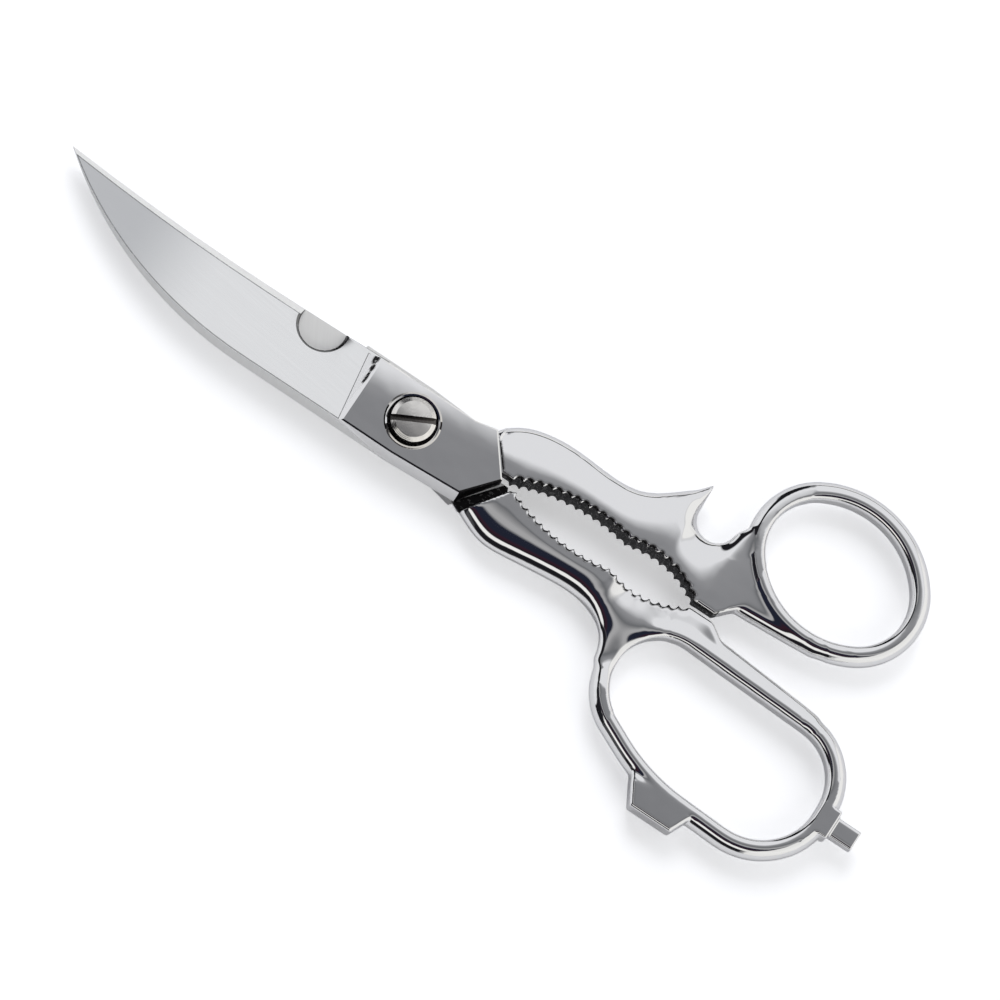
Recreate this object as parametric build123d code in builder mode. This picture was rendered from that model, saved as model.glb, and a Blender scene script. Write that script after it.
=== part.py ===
from build123d import *
from math import atan2, cos, degrees, radians, sin, sqrt
import os

# Kitchen shears: two forged halves that cross on one slotted screw.
# The origin is on the pivot's axis, in the plane that the shears lie on.
# The points are towards -X and the handles towards +X, with the thumb ring and opener on the +Y side.
# They are drawn closed. The thumb half lies on top and turns about +Z to open.

# Thicknesses and gaps
lap_thickness = 4.4
running_gap = 0.06
handle_thickness = 7.0
loop_thickness = 5.2
overrun = 3.0

# Blades
blade_reach = 88.4
tip_offset = 9.5
bow_straight = 36.0
bow_offset = 9.1
hollow_offset = 7.95
hollow_sag = 0.7
bevel_end = 30.2
root_offset = 8.4
hidden_edge_inset = 0.8
spine_peek = 0.2
spine_draft = 1.05
edge_thickness = 1.15
edge_thinning = 0.2
root_slope_share = 0.173
tip_slope_share = 0.125
station_shares = [0.12, 0.34, 0.56, 0.78, 1.0]
bevel_width = 1.0
bevel_height = 0.75
edge_lip = 0.3
station_margin = 1.0

# Bone notch in the thumb half's cutting edge
notch_reach = 25.8
notch_offset = 7.1
notch_radius = 5.0
notch_flare_share = 0.17

# Blocks at the pivot
plunge_reach = 16.2
plunge_run = 4.0
block_inner_offset = 7.4
block_taper_start = 10.5
seam_corner_reach = 15.3
seam_corner_offset = 8.4
vee_reach = 21.7
vee_corner_reach = 15.8
vee_corner_offset = 8.2
shoulder_gap = 2.5
handle_root_reach = 14.0
handle_root_offset = 6.0
jaw_root_run = 5.1

# Screw
head_radius = 4.65
head_face_radius = 3.75
head_thickness = 3.2
head_proud = 1.5
head_chamfer = 0.45
counterbore_clearance = 0.65
counterbore_rim = 0.35
neck_radius = 3.0
neck_clearance = 0.05
thread_radius = 2.5
thread_clearance = 0.02
slot_width = 1.25
slot_depth = 1.3
slot_angle = 28.0

# Jaws and stops between the handles
parting_offset = 1.1
jaw_start = 23.6
jaw_length = 43.6
jaw_crest_share = 0.33
jaw_cusp_share = 0.605
jaw_second_crest_share = 0.812
jaw_start_height = 0.5
jaw_crest_height = 4.3
jaw_cusp_height = 3.5
jaw_second_crest_height = 4.15
jaw_end_height = 0.7
tooth_pitch = 2.05
tooth_radius = 0.95
tooth_depth = 0.75
thumb_stop_length = 5.1
finger_stop_length = 6.0
stop_gap = 1.4

# Thumb handle: arch, opener hook and ring
hook_lean = 0.3
hook_height = 23.9
arch_shares = [
    (0.26, 0.345),
    (0.31, 0.49),
    (0.41, 0.595),
    (0.55, 0.625),
    (0.70, 0.605),
    (0.80, 0.64),
    (0.90, 0.80),
    (1.0, 1.0),
]
opener_radius = 4.4
opener_back = 4.3
opener_offset = 18.8
opener_bevel_depth = 1.6
opener_flare_share = 0.55
ring_ahead = 21.9
ring_offset = 23.8
ring_long = 18.7
ring_short = 15.6
ring_end = 13.6
ring_tilt = -12.0
thumb_heel_run = 2.9
thumb_heel_offset = 4.9
wing_ahead = 5.0
wing_offset = 6.2
wing_round = 1.9

# Finger handle: shank, loop, hammer and screwdriver
loop_ahead = 18.6
loop_below = 20.3
loop_long = 27.2
loop_short = 15.5
loop_corner_shares = [(-1.0, 1.03), (1.0, 0.91), (1.02, -1.04), (-0.25, -0.95), (-0.95, -0.36)]
loop_round_shares = [0.77, 0.84, 0.97, 2.58, 0.84]
waist_back = 1.6
waist_depth = 20.0
belly_shares = [
    (0.265, -0.40),
    (0.35, -0.515),
    (0.44, -0.60),
    (0.54, -0.59),
    (0.70, -0.535),
    (0.84, -0.53),
    (0.92, -0.60),
    (1.0, -0.98),
]
finger_heel_run = 3.0
finger_heel_below = 1.7
strip_reach_share = 0.6
strip_below = 3.6
strip_round = 1.5
hammer_back = 10.0
hammer_length = 15.8
hammer_face_inset = 3.5
hammer_face_length = 9.5
hammer_height = 6.2
hammer_root_share = 0.935
hammer_chamfer = 0.4
driver_below = 21.0
driver_boss_length = 2.9
driver_boss_width = 6.4
driver_length = 8.5
driver_width = 4.1
driver_thickness = 3.0
driver_root_inset = 0.4

# Rounding and thickness of the handles
loop_bar = 3.9
bar_flat = 1.7
bar_edge = 0.6
web_thickness = 4.5
shank_round = 2.2
thin_back = 2.2
thin_run = 13.0
finger_thin_ahead = 0.5
finger_thin_run = 7.5

# Places worked out from the sizes above
middle = lap_thickness
upper = Plane(origin=(0, 0, middle + running_gap / 2), x_dir=(1, 0, 0), z_dir=(0, 0, 1))
lower = Plane(origin=(0, 0, middle - running_gap / 2), x_dir=(1, 0, 0), z_dir=(0, 0, -1))
lap_height = lap_thickness - running_gap / 2
bow_run = blade_reach - bow_straight
jaw_root_reach = jaw_start - jaw_root_run
jaw_end = jaw_start + jaw_length
jaw_crest = jaw_start + jaw_length * jaw_crest_share
jaw_cusp = jaw_start + jaw_length * jaw_cusp_share
jaw_second_crest = jaw_start + jaw_length * jaw_second_crest_share
opener_reach = jaw_end - opener_back
hook_reach = opener_reach - opener_radius - hook_lean
thin_start = hook_reach - thin_back
thin_end = thin_start + thin_run
thumb_stop_end = jaw_end + thumb_stop_length
thumb_heel_reach = thumb_stop_end + thumb_heel_run
ring_reach = jaw_end + ring_ahead
wing_reach = ring_reach + wing_ahead
loop_reach = jaw_end + loop_ahead
loop_offset = -loop_below
loop_end = loop_reach + loop_long
strip_reach = loop_reach + loop_long * strip_reach_share
waist_reach = loop_reach - loop_long - waist_back
finger_thin_start = waist_reach + finger_thin_ahead
finger_thin_end = finger_thin_start + finger_thin_run
finger_stop_end = jaw_end + finger_stop_length
finger_heel_reach = finger_stop_end + finger_heel_run
hammer_start = loop_reach - hammer_back
hammer_end = hammer_start + hammer_length
hammer_face_start = hammer_start + hammer_face_inset
hammer_face_end = hammer_face_start + hammer_face_length
hammer_root = loop_short * hammer_root_share - loop_offset
hammer_depth = hammer_root + hammer_height
driver_root = loop_end - driver_root_inset
driver_boss_reach = loop_end + driver_boss_length
driver_reach = loop_end + driver_length
loop_corner_radii = [loop_short * share for share in loop_round_shares]


def bow_at(reach, bow):
    """How far the bowed side lies from the pivot's line at a given reach, positive towards the bow."""
    if reach <= bow_straight:
        return bow
    radius = (bow_run**2 + (bow + tip_offset) ** 2) / (2 * (bow + tip_offset))
    return bow - radius + sqrt(radius**2 - (reach - bow_straight) ** 2)


def blade_outline(side, bow, hollow):
    """Plan of a blade, root to point; side is 1 where the point bends towards the plane's y."""
    root = (-block_taper_start, -side * bow)
    turn = (-bow_straight, -side * bow)
    point = (-blade_reach, side * tip_offset)
    heel = (-bevel_end, side * hollow)
    sag = ((point[0] + heel[0]) / 2, side * ((tip_offset + hollow) / 2 - hollow_sag))
    end = (-block_taper_start, side * (hollow + root_offset - hollow_offset))
    with BuildSketch() as outline:
        with BuildLine():
            Line(root, turn)
            TangentArc(turn, point, tangent=(-1, 0))
            ThreePointArc(point, sag, heel)
            Line(heel, end)
            Line(end, root)
        make_face()
    return outline.sketch


def hollow_path(plane, hollow):
    """The hollow cutting edge from its heel to the point."""
    heel = (-bevel_end, hollow)
    point = (-blade_reach, tip_offset)
    sag = ((point[0] + heel[0]) / 2, (tip_offset + hollow) / 2 - hollow_sag)
    with BuildLine(plane) as path:
        ThreePointArc(heel, sag, point)
    return path.wire()


def bowed_path(plane, bow):
    """The bowed cutting edge from the notch's place to the point."""
    halfway = (bow_straight + blade_reach) / 2
    with BuildLine(plane) as path:
        Line((-bevel_end, bow), (-bow_straight, bow))
        bowed = (-halfway, bow_at(halfway, bow))
        ThreePointArc((-bow_straight, bow), bowed, (-blade_reach, -tip_offset))
    return path.wire()


def ground_bevel(plane, path):
    """What grinding takes off a cutting edge, swept along the edge from root to point."""
    with BuildPart() as body:
        with BuildSketch(Plane(origin=path @ 0, x_dir=plane.z_dir, z_dir=path % 0)):
            with BuildLine():
                Polyline(
                    (edge_lip, 0),
                    (edge_lip + overrun * bevel_height / bevel_width, -overrun),
                    (edge_lip + overrun * bevel_height / bevel_width, overrun),
                    (edge_lip, overrun),
                    close=True,
                )
            make_face()
        sweep(path=path)
    return body.part


def wedge(plane, side, bow, hollow):
    """Thick at the spine and thin at the edge, lofted through sections across the blade."""
    with BuildPart() as body:
        for share in station_shares:
            reach = share * blade_reach
            at_hollow = hollow + (tip_offset - hollow) * share
            at_bow = bow_at(reach, bow)
            edge = at_hollow if side > 0 else at_bow
            spine = at_bow if side > 0 else at_hollow
            slope_share = root_slope_share + (tip_slope_share - root_slope_share) * share
            thin = edge_thickness - edge_thinning * share
            low = edge + station_margin
            high = -spine - station_margin
            at = plane.origin - plane.x_dir * reach
            across = Plane(origin=at, x_dir=plane.y_dir, z_dir=-plane.x_dir)
            with BuildSketch(across):
                with BuildLine():
                    Polyline(
                        (low, 0),
                        (low, -thin + slope_share * station_margin),
                        (high, -thin - slope_share * (edge + spine + station_margin)),
                        (high, 0),
                        close=True,
                    )
                make_face()
        loft()
    return body.part


def lap_block(plane):
    """Flat block at the pivot, with a draft on its spine side and a ramp down to the blade."""
    base = [
        (-plunge_reach - overrun, -bow_offset),
        (0, -bow_offset),
        (vee_corner_reach, -vee_corner_offset),
        (vee_reach, 0),
        (seam_corner_reach, seam_corner_offset),
        (block_taper_start, block_inner_offset),
        (-plunge_reach - overrun, block_inner_offset),
    ]
    top = [(x, y + spine_draft) if y < 0 else (x, y) for x, y in base]
    with BuildPart() as body:
        with BuildSketch(plane):
            with BuildLine():
                Polyline(*base, close=True)
            make_face()
        with BuildSketch(plane.offset(lap_height)):
            with BuildLine():
                Polyline(*top, close=True)
            make_face()
        loft(ruled=True)
        clear = bow_offset + overrun
        side_on = Plane(origin=plane.origin + plane.y_dir * clear, x_dir=plane.x_dir, z_dir=-plane.y_dir)
        with BuildSketch(side_on):
            with BuildLine():
                Polyline(
                    (-plunge_reach, 0),
                    (-plunge_reach + plunge_run, lap_height),
                    (vee_reach + overrun, lap_height),
                    (vee_reach + overrun, 0),
                    close=True,
                )
            make_face()
        extrude(amount=2 * clear, mode=Mode.INTERSECT)
    return body.part


def jaw(side):
    """The two serrated hollows of a jaw, from the pivot outwards; side is 1 on the thumb handle."""
    start = (jaw_start, parting_offset + side * jaw_start_height)
    crest = (jaw_crest, parting_offset + side * jaw_crest_height)
    cusp = (jaw_cusp, parting_offset + side * jaw_cusp_height)
    second_crest = (jaw_second_crest, parting_offset + side * jaw_second_crest_height)
    end = (jaw_end, parting_offset + side * jaw_end_height)
    with BuildLine() as arcs:
        ThreePointArc(start, crest, cusp)
        ThreePointArc(cusp, second_crest, end)
    return arcs.wire()


def side_profile(start, end):
    """A handle seen from the side: thick along the shank, thinner where it meets the loop."""
    thick = handle_thickness / 2
    thin = web_thickness / 2
    half = [(0, thick), (start, thick), (end, thin), (driver_reach + overrun, thin)]
    return [(x, middle + z) for x, z in half] + [(x, middle - z) for x, z in reversed(half)]


def bar_section(plane):
    """Section of a handle loop: flat above and below, round outside; x points into the loop."""
    half, tall = loop_bar / 2, loop_thickness / 2
    ridge = half - bar_edge - bar_flat
    with BuildSketch(plane) as section:
        with BuildLine():
            ThreePointArc((ridge, tall), (-half, 0), (ridge, -tall))
            Polyline(
                (ridge, -tall),
                (half - bar_edge, -tall),
                (half, bar_edge - tall),
                (half, tall - bar_edge),
                (half - bar_edge, tall),
                (ridge, tall),
            )
        make_face()
    return section.sketch


def bar_along(path, inside):
    """A handle loop: its bar turned round each arc of the path and run straight along each line."""
    up = Vector(0, 0, 1)
    with BuildPart() as body:
        for run in path.edges():
            left = up.cross(run % 0)
            facing = left if left.dot(inside - run @ 0) > 0 else -left
            bar = bar_section(Plane(origin=run @ 0, x_dir=facing, z_dir=run % 0))
            if run.geom_type == GeomType.CIRCLE:
                spoke = run @ 0 - run.arc_center
                spin = up if up.cross(spoke).dot(run % 0) > 0 else -up
                turn = degrees(run.length / run.radius)
                revolve(bar, axis=Axis(run.arc_center, spin), revolution_arc=turn)
            else:
                extrude(bar, amount=run.length, dir=run % 0)
    return body.part


def ring_path():
    """Four tangent arcs that make the thumb ring's oval."""
    side = ((ring_long - ring_end) ** 2 + ring_short**2 - ring_end**2) / (2 * (ring_short - ring_end))
    out, down = ring_long - ring_end, side - ring_short
    turn = degrees(atan2(down, out))
    tilt = radians(ring_tilt)
    tilted = Plane(origin=(ring_reach, ring_offset, middle), x_dir=(cos(tilt), sin(tilt), 0))
    with BuildLine(tilted) as path:
        CenterArc((out, 0), ring_end, -turn, 2 * turn)
        CenterArc((0, -down), side, turn, 180 - 2 * turn)
        CenterArc((-out, 0), ring_end, 180 - turn, 2 * turn)
        CenterArc((0, down), side, 180 + turn, 180 - 2 * turn)
    return path.wire()


def loop_path():
    """Straight runs and wide arcs that make the finger loop's long oval."""
    corners = [(loop_reach + x * loop_long, loop_offset + y * loop_short) for x, y in loop_corner_shares]
    with BuildLine(Plane.XY.offset(middle)) as path:
        FilletPolyline(*corners, radius=loop_corner_radii, close=True)
    return path.wire()


def rims_between(body, along, start, end):
    """The straight upper and lower edges of a handle that run in one direction between two reaches."""
    straight = body.edges().filter_by(Axis((0, 0, 0), along))
    return straight.filter_by_position(Axis.X, start, end)


def serrations(arcs, side):
    """Round bites along a jaw, each just short of its neighbour, so that a cusp stands between them."""
    count = int(arcs.length / tooth_pitch)
    with BuildSketch(handle_floor) as bites:
        for index in range(count):
            share = (index + 0.5) / count
            at = arcs @ share
            along = arcs % share
            back = side * (tooth_radius - tooth_depth)
            with Locations((at.X + along.Y * back, at.Y - abs(along.X) * back)):
                Circle(tooth_radius)
    return bites.sketch


def flared_bore(radius, height, share):
    """A cone that widens upwards by a share of its rise and runs over both ends of its cut."""
    with BuildPart() as body:
        Cone(
            radius - share * overrun,
            radius + share * (height + overrun),
            height + 2 * overrun,
            align=(Align.CENTER, Align.CENTER, Align.MIN),
        )
    return body.part.translate((0, 0, -overrun))


def shoulder_room(plane):
    """The space that a handle leaves round the other half's block, up to a gap from its free edge."""
    tip = Vector(vee_reach, 0)
    corner = Vector(vee_corner_reach, -vee_corner_offset)
    along = (tip - corner).normalized()
    aside = Vector(along.Y, -along.X) * shoulder_gap
    near = corner + aside - along * shoulder_gap
    far = tip + aside + along * 2 * bow_offset
    with BuildPart() as body:
        with BuildSketch(plane.offset(-running_gap)):
            with BuildLine():
                Polyline(
                    (near.X, near.Y - bow_offset),
                    (near.X, near.Y),
                    (far.X, far.Y),
                    (-bow_straight, far.Y),
                    (-bow_straight, near.Y - bow_offset),
                    close=True,
                )
            make_face()
        extrude(amount=lap_thickness + overrun)
    return body.part


handle_floor = Plane.XY.offset(middle - handle_thickness / 2)
thumb_wedge = wedge(upper, 1, bow_offset, hollow_offset)
finger_bow = bow_offset - hidden_edge_inset
finger_hollow = hollow_offset + spine_peek
finger_wedge = wedge(lower, -1, finger_bow, finger_hollow)
thumb_block = lap_block(upper)
finger_block = lap_block(lower)
thumb_ring_path = ring_path()
thumb_ring = bar_along(thumb_ring_path, Vector(ring_reach, ring_offset, middle))
finger_loop_path = loop_path()
finger_loop = bar_along(finger_loop_path, Vector(loop_reach, loop_offset, middle))
thumb_room = shoulder_room(lower)
finger_room = shoulder_room(upper)
opener_bevel = flared_bore(opener_radius, opener_bevel_depth, opener_flare_share)
bone_notch = flared_bore(notch_radius, lap_thickness, notch_flare_share)

with BuildPart() as thumb_blade:
    with BuildSketch(upper):
        add(blade_outline(1, bow_offset, hollow_offset))
    with BuildSketch(upper.offset(lap_height)):
        add(blade_outline(1, bow_offset - spine_draft, hollow_offset))
    loft(ruled=True)
    add(thumb_wedge, mode=Mode.INTERSECT)
    add(ground_bevel(upper, hollow_path(upper, hollow_offset)), mode=Mode.SUBTRACT)

with BuildPart() as finger_blade:
    with BuildSketch(lower):
        add(blade_outline(-1, finger_bow, finger_hollow))
    with BuildSketch(lower.offset(lap_height)):
        add(blade_outline(-1, finger_bow, finger_hollow - spine_draft))
    loft(ruled=True)
    add(finger_wedge, mode=Mode.INTERSECT)
    add(ground_bevel(lower, bowed_path(lower, finger_bow)), mode=Mode.SUBTRACT)

arch = [(x * hook_reach, y * hook_height) for x, y in arch_shares]
thumb_jaw = jaw(1)
thumb_stop = parting_offset + stop_gap / 2
with BuildPart() as thumb_handle:
    with BuildSketch(handle_floor):
        with BuildLine():
            Spline(*arch)
            Line(arch[-1], (opener_reach - opener_radius, opener_offset))
            ThreePointArc(
                (opener_reach - opener_radius, opener_offset),
                (opener_reach, opener_offset - opener_radius),
                (opener_reach + opener_radius, opener_offset),
            )
            Polyline(
                (opener_reach + opener_radius, opener_offset),
                (ring_reach - ring_long, ring_offset),
                (ring_reach, ring_offset),
                (wing_reach, wing_offset),
                (thumb_heel_reach, thumb_heel_offset),
                (thumb_stop_end, thumb_stop),
                (jaw_end, thumb_stop),
            )
            add(thumb_jaw)
            Polyline(
                (jaw_start, parting_offset + jaw_start_height),
                (jaw_root_reach, parting_offset + jaw_start_height),
                (handle_root_reach, handle_root_offset),
                arch[0],
            )
        make_face()
    extrude(amount=handle_thickness)
    with BuildSketch(Plane.XZ.offset(overrun)):
        with BuildLine():
            Polyline(*side_profile(thin_start, thin_end), close=True)
        make_face()
    extrude(amount=-(ring_offset + ring_short + 2 * overrun), mode=Mode.INTERSECT)
    curved = thumb_handle.edges().filter_by(GeomType.BSPLINE)
    fillet(curved.filter_by_position(Axis.X, 0, hook_reach), radius=shank_round)
    wing = Vector(wing_reach - thumb_heel_reach, wing_offset - thumb_heel_offset)
    fillet(rims_between(thumb_handle, wing, thumb_heel_reach, wing_reach), radius=wing_round)
    with BuildSketch(handle_floor):
        add(thumb_ring_path)
        make_face()
    extrude(amount=handle_thickness, mode=Mode.SUBTRACT)
    add(thumb_ring)
    with BuildSketch(handle_floor):
        add(serrations(thumb_jaw, 1))
    extrude(amount=handle_thickness, mode=Mode.SUBTRACT)
    with Locations((opener_reach, opener_offset, middle + handle_thickness / 2 - opener_bevel_depth)):
        add(opener_bevel, mode=Mode.SUBTRACT)
    add(thumb_room, mode=Mode.SUBTRACT)

with BuildPart() as hammer:
    with BuildSketch(Plane.XY.offset(middle - loop_thickness / 2)):
        with BuildLine():
            Polyline(
                (hammer_start, -hammer_root),
                (hammer_face_start, -hammer_depth),
                (hammer_face_end, -hammer_depth),
                (hammer_end, -hammer_root),
                close=True,
            )
        make_face()
    extrude(amount=loop_thickness)
    flats = hammer.faces().filter_by(Axis.Z)
    chamfer(flats.edges(), length=hammer_chamfer)

with BuildPart() as driver:
    with Locations((driver_root, -driver_below, middle)):
        Box(
            driver_boss_reach - driver_root,
            driver_boss_width,
            loop_thickness,
            align=(Align.MIN, Align.CENTER, Align.CENTER),
        )
        Box(
            driver_reach - driver_root,
            driver_width,
            driver_thickness,
            align=(Align.MIN, Align.CENTER, Align.CENTER),
        )

belly = [(x * waist_reach, y * waist_depth) for x, y in belly_shares]
finger_jaw = jaw(-1)
finger_stop = parting_offset - stop_gap / 2
with BuildPart() as finger_handle:
    with BuildSketch(handle_floor):
        with BuildLine():
            Spline(*belly)
            Polyline(
                belly[-1],
                (loop_reach - loop_long / 2, loop_offset - loop_bar),
                (loop_reach, loop_offset),
                (strip_reach, -strip_below),
                (finger_heel_reach, -finger_heel_below),
                (finger_stop_end, finger_stop),
                (jaw_end, finger_stop),
            )
            add(finger_jaw)
            Polyline(
                (jaw_start, parting_offset - jaw_start_height),
                (jaw_root_reach, parting_offset - jaw_start_height),
                (handle_root_reach, -handle_root_offset),
                belly[0],
            )
        make_face()
    extrude(amount=handle_thickness)
    with BuildSketch(Plane.XZ.offset(-parting_offset - overrun)):
        with BuildLine():
            Polyline(*side_profile(finger_thin_start, finger_thin_end), close=True)
        make_face()
    extrude(amount=parting_offset - loop_offset + loop_short + 2 * overrun, mode=Mode.INTERSECT)
    curved = finger_handle.edges().filter_by(GeomType.BSPLINE)
    fillet(curved.filter_by_position(Axis.X, 0, waist_reach), radius=shank_round)
    strip = Vector(strip_reach - finger_heel_reach, finger_heel_below - strip_below)
    fillet(rims_between(finger_handle, strip, finger_heel_reach, strip_reach), radius=strip_round)
    with BuildSketch(handle_floor):
        add(finger_loop_path)
        make_face()
    extrude(amount=handle_thickness, mode=Mode.SUBTRACT)
    add(finger_loop)
    add(hammer.part)
    add(driver.part)
    with BuildSketch(handle_floor):
        add(serrations(finger_jaw, -1))
    extrude(amount=handle_thickness, mode=Mode.SUBTRACT)
    add(finger_room, mode=Mode.SUBTRACT)

screw_seat = 2 * lap_thickness - (head_thickness - head_proud)
with BuildPart() as thumb_half:
    add(thumb_handle.part)
    add(thumb_block)
    add(thumb_blade.part)
    with Locations((0, 0, 2 * lap_thickness)):
        CounterBoreHole(
            radius=neck_radius + neck_clearance,
            counter_bore_radius=head_radius + counterbore_clearance,
            counter_bore_depth=2 * lap_thickness - screw_seat + running_gap,
        )
    with Locations((-notch_reach, notch_offset, middle)):
        add(bone_notch, mode=Mode.SUBTRACT)
    rims = thumb_half.edges().filter_by(GeomType.CIRCLE).group_by(Axis.Z)[-1]
    chamfer(rims.sort_by(SortBy.RADIUS)[-1], length=counterbore_rim)
thumb_half.part.label = "thumb_half"

with BuildPart() as finger_half:
    add(finger_handle.part)
    add(finger_block)
    add(finger_blade.part)
    Hole(radius=thread_radius)
finger_half.part.label = "finger_half"

with BuildPart() as pivot_screw:
    with BuildSketch(Plane.XZ):
        with BuildLine():
            Polyline(
                (0, 0),
                (thread_radius - thread_clearance, 0),
                (thread_radius - thread_clearance, middle - running_gap / 2),
                (neck_radius, middle - running_gap / 2),
                (neck_radius, screw_seat),
                (head_radius, screw_seat),
                (head_radius, screw_seat + head_thickness - head_chamfer),
                (head_face_radius, screw_seat + head_thickness),
                (0, screw_seat + head_thickness),
                close=True,
            )
        make_face()
    revolve(axis=Axis.Z)
    with Locations(Location((0, 0, screw_seat + head_thickness), (0, 0, slot_angle))):
        Box(2 * (head_radius + overrun), slot_width, 2 * slot_depth, mode=Mode.SUBTRACT)
pivot_screw.part.label = "pivot_screw"

os.makedirs("parts", exist_ok=True)
for piece in (thumb_half, finger_half, pivot_screw):
    solid = piece.part
    print(solid.label, "solids", len(solid.solids()), "volume", round(solid.volume))
    print(solid.bounding_box())
    export_step(solid, f"parts/{solid.label}.step")
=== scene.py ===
from math import cos, hypot, pi, radians, sin

import bmesh
import bpy
from mathutils import Matrix, Vector


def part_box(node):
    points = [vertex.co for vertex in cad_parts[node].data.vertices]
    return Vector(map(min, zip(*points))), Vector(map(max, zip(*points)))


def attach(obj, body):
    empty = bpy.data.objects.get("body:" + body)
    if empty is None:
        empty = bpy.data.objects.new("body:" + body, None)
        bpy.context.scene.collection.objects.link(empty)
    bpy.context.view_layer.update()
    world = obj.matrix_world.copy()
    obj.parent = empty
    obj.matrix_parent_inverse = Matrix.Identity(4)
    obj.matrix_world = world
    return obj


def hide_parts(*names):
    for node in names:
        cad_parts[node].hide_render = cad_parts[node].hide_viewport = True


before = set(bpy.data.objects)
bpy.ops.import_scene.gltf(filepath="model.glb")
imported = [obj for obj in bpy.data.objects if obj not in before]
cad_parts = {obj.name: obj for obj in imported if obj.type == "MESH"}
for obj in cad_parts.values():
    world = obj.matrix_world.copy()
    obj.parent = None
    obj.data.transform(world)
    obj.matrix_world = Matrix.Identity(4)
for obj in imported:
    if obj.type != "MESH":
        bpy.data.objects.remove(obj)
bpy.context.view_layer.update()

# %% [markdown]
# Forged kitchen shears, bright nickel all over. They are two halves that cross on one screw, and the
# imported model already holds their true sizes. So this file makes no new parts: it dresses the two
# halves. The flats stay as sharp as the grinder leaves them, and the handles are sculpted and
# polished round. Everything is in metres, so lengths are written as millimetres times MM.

MM = 0.001
block_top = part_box("thumb_half")[1].z
MIDDLE = block_top / 2
print("the halves meet at z", round(MIDDLE / MM, 2), "mm")


def ease(value, start, end):
    """0 at start, 1 at end and a smooth S between."""
    share = min(1, max(0, (value - start) / (end - start)))
    return share * share * (3 - 2 * share)


# %% [markdown]
# The photograph looks down on the closed shears from 75 degrees above the table, with a long lens.
# The picture is also turned, so that the handles run down to the right. A camera matrix built from
# the two image directions says this more plainly than three Euler angles would: the camera's right
# and up are mixed from the shears' own X axis and the direction across them.

# %% Camera
ELEVATION = radians(75)
PICTURE_TURN = radians(33.7)
PICTURE_PIXELS = 1000
PIVOT_PIXEL = (413.0, 420.6)
PIXEL_SIZE = 0.202 * MM
LENS = 250.0
SENSOR = 36.0

across_shears = Vector((0, sin(ELEVATION), cos(ELEVATION)))
back = Vector((0, -cos(ELEVATION), sin(ELEVATION)))
camera_right = Vector((cos(PICTURE_TURN), 0, 0)) + across_shears * sin(PICTURE_TURN)
camera_up = across_shears * cos(PICTURE_TURN) - Vector((sin(PICTURE_TURN), 0, 0))
right_of_pivot = (PICTURE_PIXELS / 2 - PIVOT_PIXEL[0]) * PIXEL_SIZE
above_pivot = (PIVOT_PIXEL[1] - PICTURE_PIXELS / 2) * PIXEL_SIZE
aim = Vector((0, 0, block_top)) + camera_right * right_of_pivot + camera_up * above_pivot
distance = PICTURE_PIXELS * PIXEL_SIZE * LENS / SENSOR
camera_data = bpy.data.cameras.new("camera")
camera_data.lens = LENS
camera_data.sensor_width = SENSOR
camera_data.clip_end = 10.0
camera = bpy.data.objects.new("camera", camera_data)
bpy.context.scene.collection.objects.link(camera)
turned = Matrix((camera_right, camera_up, back)).transposed().to_4x4()
camera.matrix_world = Matrix.Translation(aim + back * distance) @ turned
bpy.context.scene.camera = camera
print("camera distance", round(distance, 3), "m, aimed at", [round(v / MM, 1) for v in aim])

# %% [markdown]
# Polished steel has almost no colour of its own: it shows the studio. So the studio is drawn in the
# world shader, as long soft boxes and dark flags hung along the shears. One ramp runs over the angle
# round the X axis, from the +Y horizon over the top to the -Y horizon. A flat top mirrors the place
# at 0.42 on it, a top that leans to +Y mirrors lower places, and one that leans to -Y higher ones.
# A second ramp over the X direction adds the boxes at the two ends: its alpha says where it covers
# the first.

# %% Studio bands
WHITE_BOX = (0.96, 0.96, 0.95)
SOFT_BOX = (0.84, 0.85, 0.88)
CEILING_LIGHT = (0.31, 0.315, 0.33)
CEILING = (0.25, 0.255, 0.27)
CEILING_DARK = (0.155, 0.16, 0.17)
GREY_CARD = (0.42, 0.42, 0.43)
BLACK_FLAG = (0.012, 0.012, 0.015)
NAVY_FLAG = (0.016, 0.019, 0.034)
WINE_FLAG = (0.036, 0.014, 0.024)
ALONG_BANDS = [
    (0.000, WHITE_BOX),
    (0.022, WHITE_BOX),
    (0.030, BLACK_FLAG),
    (0.062, BLACK_FLAG),
    (0.074, SOFT_BOX),
    (0.374, SOFT_BOX),
    (0.402, CEILING_LIGHT),
    (0.420, CEILING),
    (0.445, CEILING_DARK),
    (0.478, GREY_CARD),
    (0.496, GREY_CARD),
    (0.512, NAVY_FLAG),
    (0.560, NAVY_FLAG),
    (0.600, WINE_FLAG),
    (0.670, BLACK_FLAG),
    (0.688, WHITE_BOX),
    (0.790, WHITE_BOX),
    (0.820, BLACK_FLAG),
    (0.970, BLACK_FLAG),
    (1.000, GREY_CARD),
]
END_BANDS = [
    (-1.00, SOFT_BOX, 1.0),
    (-0.82, SOFT_BOX, 1.0),
    (-0.78, BLACK_FLAG, 1.0),
    (-0.52, BLACK_FLAG, 1.0),
    (-0.42, CEILING, 0.0),
    (0.36, CEILING, 0.0),
    (0.46, WHITE_BOX, 0.9),
    (1.00, WHITE_BOX, 1.0),
]
print("studio bands", len(ALONG_BANDS), "along,", len(END_BANDS), "at the ends")

# %% [markdown]
# The world and every material are small graphs of shader nodes. In the editor they would be placed
# and linked by hand. Four helpers do it in a line each, and take sockets as well as plain values, so
# that a graph reads like the sum that it works out.

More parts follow.
